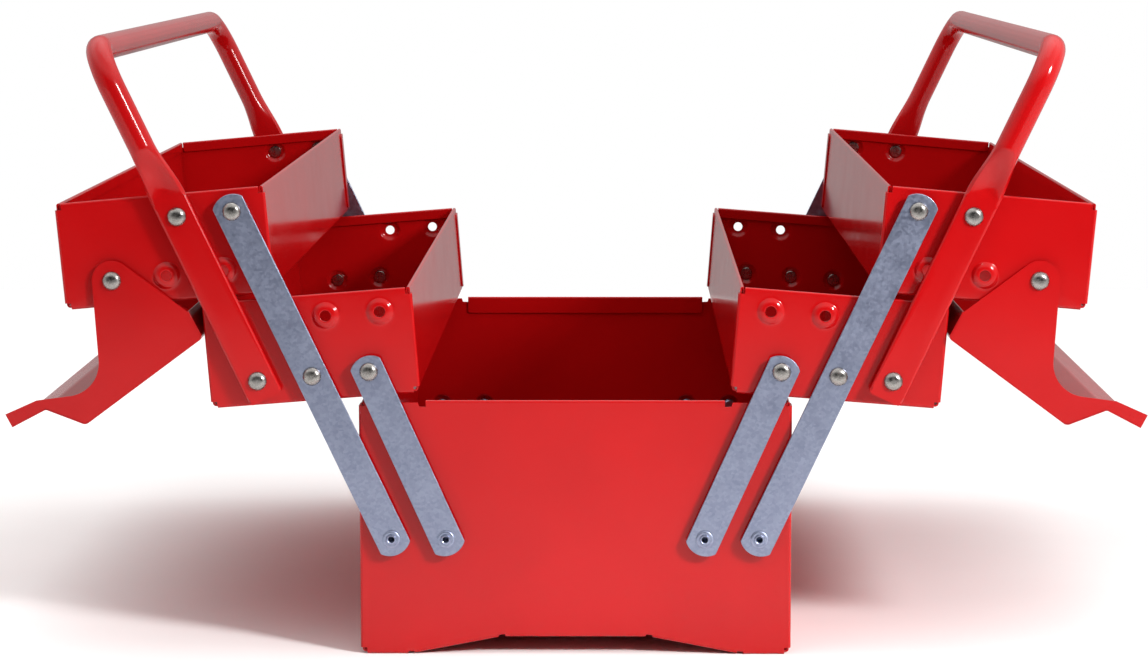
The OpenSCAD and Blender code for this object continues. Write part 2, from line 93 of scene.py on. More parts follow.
class BaseSizes(bpy.types.PropertyGroup):
    """The base's tub and end panels"""

    length: length("Length", 0.42, "Length over the end panels")
    width: length("Width", 0.2, "Width over the end panels' side flanges")
    height: length("Height", 0.1192, "Height of the hemmed rim")
    rim_drop: length("Rim drop", 0.001, "How far the plain rim lies below the hemmed rim")
    foot: length("Foot width", 0.0237, "Width of each foot along the end panel")
    raised_half: length("Raised half width", 0.0342, "Half width of the raised middle of the bottom")
    rise: length("Bottom rise", 0.0081, "Height of the raised middle of the bottom")
    hem: length("Hem depth", 0.0095, "Depth of the folded hem along the rim")
    hem_start: length("Hem start", 0.031, "Distance from the corner to the notch beside the hem")
    flange: length("Flange depth", 0.012, "Depth of the end panels' flanges")


class LinkSizes(bpy.types.PropertyGroup):
    """The strip links"""

    width: length("Width", 0.015, "Width of a link")
    thickness: length("Thickness", 0.0015, "Thickness of a link")
    pitch: length("Pitch", 0.084, "Distance between neighbouring pivots of the long link")
    end: length("End reach", 0.0079, "How far a link reaches past its last pivot")
    round: length("End radius", 0.0098, "Radius of a link's shallow round ends")
    edge: length("Edge rounding", 0.0003, "Width of the rounding along a link's cut edges")


class TraySizes(bpy.types.PropertyGroup):
    """The four trays and their pressed bosses"""

    width: length("Width", 0.097, "Width of a tray")
    height: length("Height", 0.04919, "Height of a tray")
    hem: length("Hem depth", 0.0055, "Depth of the folded hem round the rim")
    flange: length("Flange depth", 0.0095, "Depth of the flanges that wrap round the trough")
    low_row: length("Lower row", 0.012, "Height of the lower row of bosses above the bottom")
    row_rise: length("Row rise", 0.027, "Rise from the lower row of bosses to the upper row")
    margin: length("Inner margin", 0.0155, "Distance from the inner edge to the nearest boss")
    boss_gap: length("Boss gap", 0.025, "Distance between the long link's boss and the next one out")
    short_gap: length("Short link gap", 0.0262, "Distance between the long and the short link's bosses")
    row_shift: length("Row shift", 0.0083, "How far the upper row stands inwards of the lower row")
    lower_droop: angle("Lower droop", 4.5, "How far the open lower tray droops outwards")
    upper_droop: angle("Upper droop", 5.0, "How far the open upper tray droops outwards")
    boss: length("Boss radius", 0.0062, "Radius of a boss where it leaves the panel")
    boss_height: length("Boss height", 0.0016, "Height of a tray's boss")


class RivetSizes(bpy.types.PropertyGroup):
    """The solid rivets and the blind rivets"""

    pin: length("Shank radius", 0.0025, "Radius of a rivet's shank")
    hole: length("Hole radius", 0.00258, "Radius of the holes that turn on a shank")
    head: length("Head radius", 0.0043, "Radius of a solid rivet's head")
    head_height: length("Head height", 0.0023, "Height of a solid rivet's head")
    collar: length("Collar radius", 0.004, "Radius of the collar between a boss and a link")
    flange: length("Blind flange radius", 0.004, "Radius of a blind rivet's flange")


class LidSizes(bpy.types.PropertyGroup):
    """The two hinged lids"""

    eave: length("Eave rise", 0.0051, "Rise of the outer edge above the tray's rim")
    crest: length("Crest rise", 0.0155, "Rise of the crest above the tray's rim")
    flange: length("Flange depth", 0.0135, "Depth of the flange down the tray's outer wall")
    lip: length("Lip length", 0.0178, "Length of the flat lip beside the middle of the box")
    step: length("Step run", 0.013, "Run of the step from the lip up to the crest")
    band: length("Band depth", 0.0064, "Depth of the end plate below the lip")
    ear: length("Ear radius", 0.0092, "Radius of the end plate's ear round its pivot")
    hollow: length("Hollow radius", 0.0155, "Radius of the hollow that clears the handle")
    hollow_out: length("Hollow offset", 0.0053, "How far outside the crest the hollow's centre is")
    hollow_drop: length("Hollow drop", 0.0138, "How far below the tray's rim the hollow's centre is")
    open: angle("Open angle", 207.7, "Turn of a hanging lid from its closed place")


class HandleSizes(bpy.types.PropertyGroup):
    """The two tube handles"""

    tube: length("Tube radius", 0.006, "Radius of the tube")
    bend: length("Bend radius", 0.02, "Radius of the tube's bends at its middle line")
    strap_width: length("Strap width", 0.0164, "Width of the strap that the tube is flattened to")
    strap_thick: length("Strap thickness", 0.0032, "Thickness of the strap")
    strap_end: length("Strap end", 0.0093, "How far the strap reaches past its lower pivot")
    strap_top: length("Strap top", 0.009, "How far the strap reaches past its upper pivot")
    round_out: length("Rounding out", 0.026, "Length over which the strap rounds out to the tube")
    dent: length("Dent", 0.003, "Depth of the dent that the flattening leaves above the strap")


class Fits(bpy.types.PropertyGroup):
    """The clearances between the moving pieces"""

    slide: length("Sliding gap", 0.0003, "Gap between pieces that slide past each other")
    turn: length("Turning gap", 0.0001, "Gap under a piece that turns on a boss or a collar")
    strap_play: length("Strap play", 0.00035, "Radial clearance of the handle's lower pivot")
    short_play: length("Short link play", 0.0007, "Radial clearance of the short link's upper pivot")
    middle: length("Middle gap", 0.001, "Gap between the two closed upper trays")
    lid: length("Lid gap", 0.0004, "Gap between the closed lid's flange and the tray's wall")


class Colours(bpy.types.PropertyGroup):
    """The colours of the finishes"""

    enamel: colour("Enamel", "#B40C0F", "Signal red of the stoved enamel")
    enamel_deep: colour("Deep enamel", "#AB0A0D", "Red where the enamel lies thicker")
    zinc: colour("Zinc", "#99A0B6", "Bluish grey of the zinc plating")
    zinc_dark: colour("Dull zinc", "#838AA2", "Grey of the duller zinc crystals")
    steel: colour("Rivet steel", "#A19D99", "Grey of the plated rivets")
    floor: colour("Floor", "#F6F5F4", "Pale grey of the studio floor")


GROUPS = {
    "sheet": SheetSizes, "base": BaseSizes, "links": LinkSizes, "trays": TraySizes,
    "rivets": RivetSizes, "lids": LidSizes, "handles": HandleSizes, "fits": Fits, "colours": Colours,
}


class Toolbox(bpy.types.PropertyGroup):
    """Everything that a user may change about the toolbox"""

    __annotations__ = {
        key: PointerProperty(type=group, name=key.title(), description=group.__doc__)
        for key, group in GROUPS.items()
    }


def box():
    """The toolbox's sizes and colours"""
    return bpy.context.scene.toolbox


# ---- Where things are


def turned(x, z, by):
    """A point turned in the plane across the box, outwards on the left side"""
    return Vector((x * math.cos(by) - z * math.sin(by), x * math.sin(by) + z * math.cos(by)))


def hang(own, at, by):
    """Puts a drawing's own point at a place in the box and turns it there"""
    return (Matrix.Translation((at.x, 0, at.z)) @ Matrix.Rotation(-by, 4, "Y")
            @ Matrix.Translation((-own[0], 0, -own[1])))


def end_face():
    """Where the outer face of the front end panels is"""
    return -box().base.length / 2


def lid_plane():
    """How far in front of the end panels the back of a lid's end plate is"""
    return box().trays.boss_height + box().fits.turn


def link_plane():
    """How far in front of the end panels the back of the links and the straps is"""
    return lid_plane() + box().sheet.thickness + box().fits.slide


def bosses():
    """A tray end panel's bosses by what they carry, from its outer bottom corner"""
    t = box().trays
    upper_long = Vector((t.width - t.margin, t.low_row + t.row_rise))
    upper_strap = upper_long - Vector((t.boss_gap, 0))
    lower_long = Vector((upper_strap.x - t.row_shift, t.low_row))
    return {
        "upper_long": upper_long, "upper_strap": upper_strap, "lower_long": lower_long,
        "outer": lower_long - Vector((t.boss_gap, 0)),
        "lower_short": lower_long + Vector((t.short_gap, 0)),
    }


def tray_place(row):
    """Where a left tray hangs"""
    t = box().trays
    joint = PIVOTS[f"left_{row}_tray_pivot"]
    return hang(bosses()[f"{row}_long"], joint, t.lower_droop if row == "lower" else t.upper_droop)


def lower_strap_pivot():
    """The pivot at the foot of the left handle's strap, on the lower tray"""
    spots = bosses()
    arm = turned(*(spots["outer"] - spots["lower_long"]), box().trays.lower_droop)
    at = PIVOTS["left_lower_tray_pivot"]
    return Vector((at.x + arm.x, 0, at.z + arm.y))


def lean_of(foot, top):
    """How far a line across the box leans outwards on the left side"""
    return math.atan2(foot.x - top.x, top.z - foot.z)


# ---- Shaping


def verts_of(geometry):
    """The verts in what a bmesh operator returns"""
    return [g for g in geometry if isinstance(g, bmesh.types.BMVert)]


def edges_of(geometry):
    """The edges in what a bmesh operator returns"""
    return [g for g in geometry if isinstance(g, bmesh.types.BMEdge)]


def chain(bm, points, closed=False):
    """Joins points in a row with edges"""
    row = [bm.verts.new(point) for point in points]
    pairs = list(zip(row, row[1:])) + ([(row[-1], row[0])] if closed else [])
    return row, [bm.edges.new(pair) for pair in pairs]


def round_corners(bm, corners, radius, segments=4):
    """Rounds the corners of an outline or of a flange"""
    if corners:
        bmesh.ops.bevel(bm, geom=corners, offset=radius, offset_type="OFFSET", segments=segments,
                        profile=0.5, affect="VERTICES", material=-1)


def bent_strip(path, start, run):
    """A folded sheet's middle layer, from (x, z, fold radius) points, drawn out along the box"""
    bm = bmesh.new()
    _, edges = chain(bm, [(x, start, z) for x, z, _ in path])
    drawn = bmesh.ops.extrude_edge_only(bm, edges=edges)["geom"]
    bmesh.ops.translate(bm, vec=(0, run, 0), verts=verts_of(drawn))
    for before, here, after in zip(path, path[1:], path[2:]):
        corner = Vector(here[:2])
        turn = (corner - Vector(before[:2])).angle(Vector(after[:2]) - corner)
        ridge = [e for e in bm.edges if all((v.co.xz - corner).length < SAME for v in e.verts)]
        bmesh.ops.bevel(bm, geom=ridge, offset=here[2] * math.tan(turn / 2), offset_type="OFFSET",
                        segments=max(2, round(math.degrees(turn) / 14)), profile=0.5,
                        affect="EDGES", material=-1)
    return bm


def fold(bm, edges, outward, radius, turn, reach):
    """Folds a panel's edges towards the inside of the box and draws the flange out"""
    outward = Vector(outward).normalized()
    axis = outward.cross(INWARD)
    verts = list({v for e in edges for v in e.verts})
    spun = bmesh.ops.spin(bm, geom=verts + edges, cent=verts[0].co + INWARD * radius, axis=axis,
                          dvec=(0, 0, 0), angle=turn, steps=round(math.degrees(turn) / 15))
    drawn = bmesh.ops.extrude_edge_only(bm, edges=edges_of(spun["geom_last"]))["geom"]
    way = Matrix.Rotation(turn, 3, axis) @ outward
    bmesh.ops.translate(bm, vec=way * reach, verts=verts_of(drawn))
    return verts_of(drawn)


def turn_round(bm, at, profile, steps=40):
    """Turns a profile of (radius, distance out of the box's end) round the pivot's axis"""
    row, edges = chain(bm, [(at.x + r, at.y - d, at.z) for r, d in profile])
    bmesh.ops.spin(bm, geom=row + edges, cent=at, axis=INWARD, dvec=(0, 0, 0),
                   angle=2 * math.pi, steps=steps, use_merge=True)


def rim_of(bm, at, radius):
    """The ring of open edges at a radius from a pivot's axis"""
    return [e for e in bm.edges if len(e.link_faces) < 2
            and all(abs((v.co.xz - at.xz).length - radius) < SAME for v in e.verts)]


def press_boss(bm, at, radius, height, hole):
    """Presses a domed boss out of a panel and returns the rim where it leaves the flat"""
    shape = [(1.22, 0), (1.04, 0.01), (0.97, 0.08), (0.9, 0.28), (0.82, 0.52), (0.73, 0.73),
             (0.63, 0.88), (0.52, 0.97)]
    turn_round(bm, at, [(radius * r, height * h) for r, h in shape] + [(hole, height)])
    return rim_of(bm, at, radius * shape[0][0])


def punch(bm, at, radius):
    """A round hole with a narrow flat ring, which keeps the rounding of its edge clean; returns
    the ring's outer edges"""
    turn_round(bm, at, [(radius + HOLE_RING, 0), (radius, 0)])
    return rim_of(bm, at, radius + HOLE_RING)


def fill_flat(bm, edges):
    """Fills a flat panel between its outline and the rims of its bosses and holes"""
    bmesh.ops.triangle_fill(bm, use_beauty=True, use_dissolve=False, edges=edges, normal=OUTWARD)


def settle(bm, name, body, node, finish, place=None, side="left", end="front", sheet=0.0, edge=0.0):
    """Makes a drawing of the left front quarter a piece of the box, mirrored where it belongs"""
    if place is not None:
        bmesh.ops.transform(bm, matrix=place, verts=bm.verts)
    mirrored = (1 if side == "left" else -1, 1 if end == "front" else -1, 1)
    bmesh.ops.scale(bm, vec=mirrored, verts=bm.verts)
    bmesh.ops.remove_doubles(bm, verts=bm.verts, dist=2 * SAME)
    bmesh.ops.recalc_face_normals(bm, faces=bm.faces)
    mesh = bpy.data.meshes.new(name)
    bm.to_mesh(mesh)
    bm.free()
    mesh.shade_smooth()
    piece = bpy.data.objects.new(name, mesh)
    bpy.context.scene.collection.objects.link(piece)
    slot, material = FINISHES[finish]
    mesh.materials.append(material())
    if sheet:
        wall = piece.modifiers.new("Sheet", "SOLIDIFY")
        wall.thickness, wall.offset = sheet, 0
        wall.use_even_offset = wall.use_quality_normals = True
    if edge:
        rounding = piece.modifiers.new("Edges", "BEVEL")
        rounding.width, rounding.segments = edge, 2
        rounding.limit_method, rounding.angle_limit = "ANGLE", math.radians(40)
        rounding.face_strength_mode = "FSTR_ALL"
    else:
        mesh.set_sharp_from_angle(angle=math.radians(38))
    flat = piece.modifiers.new("Flat faces stay flat", "WEIGHTED_NORMAL")
    flat.mode, flat.keep_sharp, flat.use_face_influence = "FACE_AREA", True, bool(edge)
    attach(piece, body)
    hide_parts(node)
    return piece


# ---- Finishes


def linear(code):
    """A colour for a shader from an sRGB hex code"""
    parts = [int(code[i:i + 2], 16) / 255 for i in (1, 3, 5)]
    return (*[c / 12.92 if c <= 0.04045 else ((c + 0.055) / 1.055) ** 2.4 for c in parts], 1)


def add(tree, kind, settings=None, **inputs):
    """Adds a node; an input is a value or the socket that it is linked from"""
    node = tree.nodes.new(kind)
    for key, value in (settings or {}).items():
        setattr(node, key, value)
    for key, value in inputs.items():
        socket = node.inputs[int(key[1:]) if key[1:].isdigit() else key.replace("_", " ")]
        if isinstance(value, bpy.types.NodeSocket):
            tree.links.new(value, socket)
        else:
            socket.default_value = value
    return node


def ramp(tree, factor, *stops):
    """A colour ramp from (position, colour) stops"""
    node = add(tree, "ShaderNodeValToRGB", Fac=factor)
    while len(node.color_ramp.elements) < len(stops):
        node.color_ramp.elements.new(0.5)
    for element, (position, shade) in zip(node.color_ramp.elements, stops):
        element.position, element.color = position, shade
    return node.outputs["Color"]


def grey(value):
    """A grey for a shader, or a plain number in a ramp"""
    return (value, value, value, 1)


def new_material(name):
    """An empty material, its tree and its object coordinates; None where it already exists"""
    found = bpy.data.materials.get(name)
    if found:
        return found, None, None
    material = bpy.data.materials.new(name)
    material.use_nodes = True
    material.node_tree.nodes.clear()
    spot = add(material.node_tree, "ShaderNodeTexCoord").outputs["Object"]
    return material, material.node_tree, spot


def finish_off(tree, **surface):
    """Ends a material's tree with its surface"""
    shader = add(tree, "ShaderNodeBsdfPrincipled", **surface)
    add(tree, "ShaderNodeOutputMaterial", Surface=shader.outputs["BSDF"])


def stoved_enamel():
    """Stoved enamel over degreased steel sheet: sprayed and baked, so it is glossy, deep red and
    slightly uneven, with a fine orange peel, a few dull specks and the smears of hands"""
    material, tree, spot = new_material("Stoved red enamel")
    if tree is None:
        return material
    c = box().colours
    # The spray's thickness drifts over about 60 mm
    drift = add(tree, "ShaderNodeTexNoise", Vector=spot, Scale=16.0, Detail=3.0).outputs["Fac"]
    # Orange peel has lumps of about 2 mm, and dust and rubbing leave specks of about 0.5 mm
    peel = add(tree, "ShaderNodeTexNoise", Vector=spot, Scale=420.0, Detail=2.0).outputs["Fac"]
    specks = add(tree, "ShaderNodeTexNoise", Vector=spot, Scale=1600.0, Detail=3.0).outputs["Fac"]
    # Hands leave smears of about 25 mm
    smears = add(tree, "ShaderNodeTexNoise", Vector=spot, Scale=38.0, Detail=3.0).outputs["Fac"]
    red = ramp(tree, drift, (0.3, linear(c.enamel_deep)), (0.7, linear(c.enamel)))
    gloss = ramp(tree, smears, (0.35, grey(0.12)), (0.75, grey(0.16)))
    dust = ramp(tree, specks, (0.66, grey(0)), (0.8, grey(0.08)))
    rough = add(tree, "ShaderNodeMath", {"operation": "ADD"}, _0=gloss, _1=dust).outputs[0]
    bump = add(tree, "ShaderNodeBump", Strength=0.02, Distance=0.0002, Height=peel)
    wave = add(tree, "ShaderNodeBump", Strength=0.06, Distance=0.002, Height=drift,
               Normal=bump.outputs["Normal"])
    finish_off(tree, Base_Color=red, Roughness=rough, Normal=wave.outputs["Normal"], IOR=1.37)
    return material


def zinc_plate():
    """Bright zinc plating on cold rolled strip: bluish grey metal with a fine spangle, in cloudy
    patches that are duller where it has been handled"""
    material, tree, spot = new_material("Zinc plated strip")
    if tree is None:
        return material
    c = box().colours
    # Crystals of about 1.2 mm, drawn a little coarser than the real ones so that they show
    crystals = add(tree, "ShaderNodeTexVoronoi", Vector=spot, Scale=800.0).outputs["Color"]
    flake = add(tree, "ShaderNodeSeparateColor", Color=crystals).outputs["Red"]
    # Handling leaves clouds of about 14 mm
    cloud = add(tree, "ShaderNodeTexNoise", Vector=spot, Scale=70.0, Detail=5.0,
                Roughness=0.6).outputs["Fac"]
    mixed = add(tree, "ShaderNodeMath", {"operation": "MULTIPLY_ADD"}, _0=flake, _1=0.45,
                _2=cloud).outputs[0]
    tint = ramp(tree, mixed, (0.35, linear(c.zinc_dark)), (1.0, linear(c.zinc)))
    rough = ramp(tree, mixed, (0.3, grey(0.3)), (1.0, grey(0.46)))
    bump = add(tree, "ShaderNodeBump", Strength=0.15, Distance=0.0001, Height=mixed)
    finish_off(tree, Base_Color=tint, Metallic=1.0, Roughness=rough, Normal=bump.outputs["Normal"])
    return material


def rivet_steel():
    """Nickel plated rivet steel: set by a hammering tool, so bright with small dents and scuffs"""
    material, tree, spot = new_material("Plated rivet steel")
    if tree is None:
        return material
    c = box().colours
    # The hammering tool leaves dents of about 1.5 mm, and scuffs are under 0.5 mm
    dents = add(tree, "ShaderNodeTexNoise", Vector=spot, Scale=650.0, Detail=4.0).outputs["Fac"]
    scuffs = add(tree, "ShaderNodeTexNoise", Vector=spot, Scale=2200.0, Detail=4.0,
                 Roughness=0.7).outputs["Fac"]
    dull = tuple(0.6 * part for part in linear(c.steel)[:3]) + (1,)
    tint = ramp(tree, scuffs, (0.35, dull), (0.6, linear(c.steel)))
    rough = ramp(tree, dents, (0.3, grey(0.18)), (0.75, grey(0.4)))
    bump = add(tree, "ShaderNodeBump", Strength=0.3, Distance=0.0002, Height=dents)
    finish_off(tree, Base_Color=tint, Metallic=1.0, Roughness=rough, Normal=bump.outputs["Normal"])
    return material


def studio_floor():
    """Matt painted studio floor: pale and even, with the faint mottle of rolled paint"""
    material, tree, spot = new_material("Matt studio paint")
    if tree is None:
        return material
    pale = linear(box().colours.floor)
    mottle = add(tree, "ShaderNodeTexNoise", Vector=spot, Scale=8.0, Detail=4.0).outputs["Fac"]
    tint = ramp(tree, mottle, (0.3, tuple(0.97 * part for part in pale[:3]) + (1,)), (0.7, pale))
    finish_off(tree, Base_Color=tint, Roughness=0.85)
    return material


FINISHES = {
    "enamel": ("red_enamel", stoved_enamel),
    "zinc": ("zinc_strip", zinc_plate),
    "zinc rivet": ("rivet", zinc_plate),
    "steel": ("rivet", rivet_steel),
}


# ---- Base


WALL_FOLD = 0.0012              # radius of the fold between a wall and a bottom, at the middle layer
HEM_SHARE = 0.49                # radius of a hem's fold as a share of the step between its layers


def base_tub():
    """The base's side walls, hemmed, and its bottom with two feet and a raised middle"""
    s, b = box().sheet, box().base
    start = -b.length / 2 + s.thickness + s.bend
    wall = b.width / 2 - 1.5 * s.thickness
    floor = 1.5 * s.thickness
    step = s.thickness + s.hem_gap
    top = b.height - b.rim_drop - s.thickness / 2
    hem_r = step * HEM_SHARE
    slope_r, slope_in = 0.002, 0.0002
    half = [
        (-wall + step, top + s.thickness / 2 - b.hem, 0), (-wall + step, top, hem_r), (-wall, top, hem_r),
        (-wall, floor, WALL_FOLD), (-b.width / 2 + b.foot + slope_in, floor, slope_r),
        (-b.raised_half + slope_in, b.rise + floor, slope_r),
    ]
    path = half + [(-x, z, r) for x, z, r in reversed(half)]
    bm = bent_strip(path, start, -2 * start)
    settle(bm, "base_tub_sheet", "base", "base_tub", "enamel", sheet=s.thickness, edge=s.edge)


def base_end(end):
    """An end panel: hemmed between two small notches, with flanges round its sides and bottom"""
    s, b, r = box().sheet, box().base, box().rivets
    half, step = s.thickness / 2, s.thickness + s.hem_gap
    bend = s.bend + half
    inset = half + bend
    face = end_face() + half
    side, rim = b.width / 2, b.height - b.rim_drop
    hem_x = side - b.hem_start
    hem_z = b.height - half - step / 2
    notch, notch_drop, shoulder = 0.0036, 0.0021, Vector((0.85 * 0.0036, 0.0019))
    bm = bmesh.new()
    # The bottom edge from the left foot to the right one, and each stretch's fold line
    rising = [Vector(p) for p in ((-side + s.relief / 2, 0), (-side + b.foot, 0), (-b.raised_half, b.rise))]
    corners = rising + [Vector((-p.x, p.y)) for p in reversed(rising)]
    outline, folds = [], []
    for a, c in zip(corners, corners[1:]):
        along = (c - a).normalized()
        up = Vector((-along.y, along.x))
        folds.append((len(outline), -up))
        outline += [a + along * s.relief / 2 + up * inset, c - along * s.relief / 2 + up * inset]
    # Up the right side to the hem, and down the left side as its mirror image
    right_side = [Vector(p) for p in (
        (side - s.relief, s.relief), (side - inset, s.relief), (side - inset, rim - s.relief / 2),
        (side - s.relief, rim - s.relief / 2), (side - s.relief, rim), (hem_x + notch, rim),
        (hem_x + shoulder.x, rim - shoulder.y), (hem_x, rim - notch_drop), (hem_x, hem_z))]
    right, hem = len(outline) + 1, len(outline) + len(right_side) - 1
    left = 2 * hem - right
    outline += right_side + [Vector((-p.x, p.y)) for p in reversed(right_side)]
    _, edges = chain(bm, [(p.x, face, p.y) for p in outline], closed=True)
    rims = []
    for way in (-1, 1):
        for name in ("left_swing", "left_short_swing"):
            at = Vector((-PIVOTS[name].x * way, face, PIVOTS[name].z))
            rims += press_boss(bm, at, box().trays.boss, link_plane() - box().fits.turn, r.hole)
    fill_flat(bm, edges + rims)
    folds += [(right, Vector((1, 0))), (left, Vector((-1, 0)))]
    for index, outward in folds:
        tips = fold(bm, [edges[index]], (outward.x, 0, outward.y), bend, math.pi / 2, b.flange - inset)
        round_corners(bm, tips, 0.002)
    tips = fold(bm, [edges[hem]], (0, 0, 1), step / 2, math.pi, hem_z - (b.height - b.hem))
    round_corners(bm, tips, 0.0015)
    settle(bm, f"base_end_panel_{end}", "base", f"base_end_{end}", "enamel", end=end,
           sheet=s.thickness, edge=s.edge)


class TOOLBOX_OT_base(bpy.types.Operator):
    """Makes the base's bent tub and its two flanged end panels"""

    bl_idname = "toolbox.base"
    bl_label = "Base"

    def execute(self, context):
        base_tub()
        for end in ENDS:
            base_end(end)
        return {"FINISHED"}


# ---- Trays


def trough(side, row):
    """A tray's sheet, with a hem along each long rim"""
    s, t = box().sheet, box().trays
    start = end_face() + s.thickness + s.bend
    near, top = 1.5 * s.thickness, t.height - s.thickness / 2
    far, step = t.width - near, s.thickness + s.hem_gap
    hem_r = step * HEM_SHARE
    bm = bent_strip([
        (near + step, t.height - t.hem, 0), (near + step, top, hem_r), (near, top, hem_r),
        (near, near, WALL_FOLD), (far, near, WALL_FOLD), (far, top, hem_r), (far - step, top, hem_r),
        (far - step, t.height - t.hem, 0)], start, -2 * start)
    settle(bm, f"{side}_{row}_trough_sheet", f"{side}_{row}_tray", f"{side}_{row}_trough", "enamel",
           place=tray_place(row), side=side, sheet=s.thickness, edge=s.edge)


def tray_end(side, row, end):
    """A tray's end panel: five bosses, three flanges and a hem"""
    s, t = box().sheet, box().trays
    half, step = s.thickness / 2, s.thickness + s.hem_gap
    bend = s.bend + half
    inset = half + bend
    face = end_face() + half
    low, high, hem_z = s.relief, t.height - s.relief, t.height - half - step / 2
    left, right = s.relief, t.width - s.relief
    bm = bmesh.new()
    # Round from the bottom left: stretches 0, 3, 6 and 9 are the folds at bottom, right, top and left
    outline = [(left, inset), (right, inset), (right, low), (t.width - inset, low), (t.width - inset, high),
               (right, high), (right, hem_z), (left, hem_z), (left, high), (inset, high), (inset, low),
               (left, low)]
    _, edges = chain(bm, [(x, face, z) for x, z in outline], closed=True)
    rims = []
    for spot in bosses().values():
        rims += press_boss(bm, Vector((spot.x, face, spot.y)), t.boss, t.boss_height, box().rivets.hole)
    fill_flat(bm, edges + rims)
    for index, outward in ((0, (0, 0, -1)), (3, (1, 0, 0)), (9, (-1, 0, 0))):
        tips = fold(bm, [edges[index]], outward, bend, math.pi / 2, t.flange - inset)
        round_corners(bm, tips, 0.003)
    tips = fold(bm, [edges[6]], (0, 0, 1), step / 2, math.pi, hem_z - (t.height - t.hem))
    round_corners(bm, tips, 0.0015)
    settle(bm, f"{side}_{row}_end_panel_{end}", f"{side}_{row}_tray", f"{side}_{row}_end_{end}", "enamel",
           place=tray_place(row), side=side, end=end, sheet=s.thickness, edge=s.edge)


class TOOLBOX_OT_trays(bpy.types.Operator):
    """Makes the four trays, each a trough and two end panels"""

    bl_idname = "toolbox.trays"
    bl_label = "Trays"

    def execute(self, context):
        for side in SIDES:
            for row in ("lower", "upper"):
                trough(side, row)
                for end in ENDS:
                    tray_end(side, row, end)
        return {"FINISHED"}


# ---- Lids


def lid_line():
    """The lid's middle layer from its outer flange to its lip, from the pivot, as (x, z, radius)"""
    s, t, l, f = box().sheet, box().trays, box().lids, box().fits
    outer = bosses()["outer"]
    rim = t.height - t.low_row
    flange = -outer.x - f.lid - s.thickness / 2
    lip = t.width - outer.x - f.slide
    lip_z = rim + f.slide + s.thickness / 2
    return [(flange, rim + l.eave - l.flange, 0), (flange, rim + l.eave, 0.0016),
            (lip - l.lip - l.step, rim + l.crest, 0.0024), (lip - l.lip, lip_z, 0.0019), (lip, lip_z, 0)]


def lid_place():
    """Where the left lid hangs"""
    return hang((0, 0), PIVOTS["left_lid_pivot"], box().lids.open)


def lid_reach():
    """How far the outer faces of a lid's end plates are from the middle of the box"""
    return -end_face() + lid_plane() + box().sheet.thickness


def lid_roof(side):
    """A lid's roof: outer flange, slope, step and lip in one folded sheet"""
    s = box().sheet
    bm = bent_strip(lid_line(), -lid_reach(), 2 * lid_reach())
    settle(bm, f"{side}_lid_roof_sheet", f"{side}_lid", f"{side}_lid_roof", "enamel",
           place=lid_place(), side=side, sheet=s.thickness, edge=s.edge)


def arc(bm, centre, radius, start, sweep, steps):
    """A row of verts along an arc in the plane of a plate"""
    spoke = radius * Vector((math.cos(start), 0, math.sin(start)))
    first = bm.verts.new(centre + spoke)
    bmesh.ops.spin(bm, geom=[first], cent=centre, axis=OUTWARD, dvec=(0, 0, 0), angle=sweep, steps=steps)
    row = [first]
    while len(row) <= steps:
        beside = [e.other_vert(row[-1]) for e in row[-1].link_edges]
        row.append(next(vert for vert in beside if vert not in row))
    return row


def lid_end(side, end):
    """A lid's end plate, with an ear round the pivot and a hollow that clears the handle"""
    s, l = box().sheet, box().lids
    face = end_face() - lid_plane() - s.thickness / 2
    line = lid_line()
    rim = box().trays.height - box().trays.low_row
    hollow = Vector((line[2][0] - l.hollow_out, face, rim - l.hollow_drop))
    pivot = Vector((0, face, 0))
    aim = math.atan2(hollow.z, hollow.x) - math.acos((l.ear + l.hollow) / hollow.xz.length)
    eave_aim = math.atan2(line[0][1], line[0][0]) + math.acos(l.ear / Vector(line[0][:2]).length)
    bm = bmesh.new()
    crown, _ = chain(bm, [(x, face, z) for x, z, _ in line])
    low = line[4][1] - l.band
    band, _ = chain(bm, [(line[4][0], face, low), (line[3][0] + 0.002, face, low + 0.001)])
    near = math.radians(72)
    inner = arc(bm, hollow, l.hollow, near, aim + math.pi - near, 14)
    ear = arc(bm, pivot, l.ear, aim, eave_aim - aim - 2 * math.pi, 24)
    outline = crown + band + inner + ear
    for a, c in zip(outline, outline[1:] + outline[:1]):
        if not bm.edges.get((a, c)):
            bm.edges.new((a, c))
    round_corners(bm, crown[1:4], WALL_FOLD)
    fill_flat(bm, list(bm.edges) + punch(bm, pivot, box().rivets.hole))
    settle(bm, f"{side}_lid_end_plate_{end}", f"{side}_lid", f"{side}_lid_end_{end}", "enamel",
           place=lid_place(), side=side, end=end, sheet=s.thickness, edge=s.edge)


class TOOLBOX_OT_lids(bpy.types.Operator):
    """Makes the two stepped lids and their end plates"""

    bl_idname = "toolbox.lids"
    bl_label = "Lids"

    def execute(self, context):
        for side in SIDES:
            lid_roof(side)
            for end in ENDS:
                lid_end(side, end)
        return {"FINISHED"}


# ---- Links


